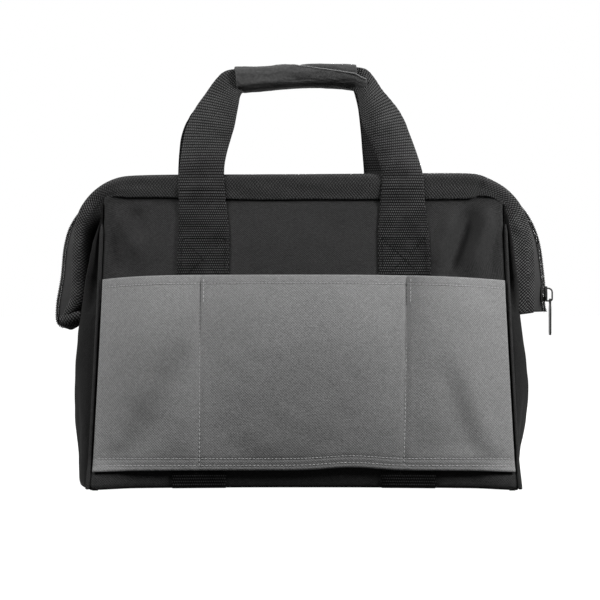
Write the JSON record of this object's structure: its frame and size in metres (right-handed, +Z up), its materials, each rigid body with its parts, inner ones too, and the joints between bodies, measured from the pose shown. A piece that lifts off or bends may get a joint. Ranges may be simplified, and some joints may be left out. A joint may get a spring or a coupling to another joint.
{
  "type": "tool bag",
  "caption": "Soft wide-mouth tool bag with a wire frame, a zip over the top, two joined webbing handles under a grip wrap and divided outside pockets.",
  "frame": {"origin": "centre of the bag's flat underside", "axes": "+X along the bag's length towards the end where the zip slider rests, -Y out of the front, +Z up"},
  "size_m": [0.4997, 0.2272, 0.4163],
  "materials": {
    "body_cloth": "matte",
    "pocket_cloth": "matte",
    "webbing": "matte",
    "base_board": "matte",
    "steel_wire": "satin",
    "zip_tape": "matte",
    "zip_coil": "satin",
    "slider_metal": "satin",
    "grip_cloth": "matte"
  },
  "bodies": {
    "bag_body": {"base_board": "base_board", "bottom_panel": "body_cloth", "left_end_panel": "body_cloth", "right_end_panel": "body_cloth", "left_base_strap": "webbing", "right_base_strap": "webbing", "front_panel": "body_cloth", "front_upper_panel": "body_cloth", "front_pocket": "pocket_cloth", "front_left_strap": "webbing", "front_left_strap_top": "webbing", "front_left_gusset_fold": "body_cloth", "front_left_piping": "body_cloth", "front_right_strap": "webbing", "front_right_strap_top": "webbing", "front_right_gusset_fold": "body_cloth", "front_right_piping": "body_cloth", "back_panel": "body_cloth", "back_upper_panel": "body_cloth", "back_pocket": "pocket_cloth", "back_left_strap": "webbing", "back_left_strap_top": "webbing", "back_left_gusset_fold": "body_cloth", "back_left_piping": "body_cloth", "back_right_strap": "webbing", "back_right_strap_top": "webbing", "back_right_gusset_fold": "body_cloth", "back_right_piping": "body_cloth", "zip_end_stop": "zip_coil"},
    "front_frame": {"front_mouth_wire": "steel_wire", "front_mouth_binding": "webbing", "front_zip_tape": "zip_tape", "front_zip_coil": "zip_coil"},
    "back_frame": {"back_mouth_wire": "steel_wire", "back_mouth_binding": "webbing", "back_zip_tape": "zip_tape", "back_zip_coil": "zip_coil"},
    "front_carry": {"front_handle": "webbing"},
    "back_carry": {"back_handle": "webbing", "grip_wrap": "grip_cloth"},
    "wrap_flap": {"grip_flap": "grip_cloth"},
    "slider": {"zip_slider": "slider_metal"},
    "puller": {"zip_puller": "slider_metal"}
  },
  "joints": [
    {"name": "front_mouth_open", "type": "hinge", "parent": "bag_body", "child": "front_frame", "pos_m": [0, 0, 0.16], "axis": [1, 0, 0], "range_deg": [0, 50], "deforming": ["front_upper_panel", "front_left_strap_top", "front_right_strap_top", "front_left_gusset_fold", "front_right_gusset_fold", "front_zip_tape", "front_zip_coil", "front_left_piping", "front_right_piping"]},
    {"name": "back_mouth_open", "type": "hinge", "parent": "bag_body", "child": "back_frame", "pos_m": [0, 0, 0.16], "axis": [-1, 0, 0], "range_deg": [0, 50], "deforming": ["back_upper_panel", "back_left_strap_top", "back_right_strap_top", "back_left_gusset_fold", "back_right_gusset_fold", "back_zip_tape", "back_zip_coil", "back_left_piping", "back_right_piping"]},
    {"name": "front_handle_fold", "type": "hinge", "parent": "front_frame", "child": "front_carry", "pos_m": [0, -0.018, 0.3036], "axis": [1, 0, 0], "range_deg": [0, 120]},
    {"name": "back_handle_fold", "type": "hinge", "parent": "back_frame", "child": "back_carry", "pos_m": [0, 0.018, 0.3036], "axis": [-1, 0, 0], "range_deg": [0, 120]},
    {"name": "grip_flap_open", "type": "hinge", "parent": "back_carry", "child": "wrap_flap", "pos_m": [0, 0.008, 0.3934], "axis": [1, 0, 0], "range_deg": [0, 110], "deforming": ["grip_flap", "grip_wrap"]},
    {"name": "zip_slide", "type": "slide", "parent": "bag_body", "child": "slider", "axis": [0, 0, 1], "range_m": [0, 0.03]},
    {"name": "puller_swing", "type": "hinge", "parent": "slider", "child": "puller", "pos_m": [0.2505, 0, 0.1799], "axis": [0, -1, 0], "range_deg": [0, 130]}
  ]
}
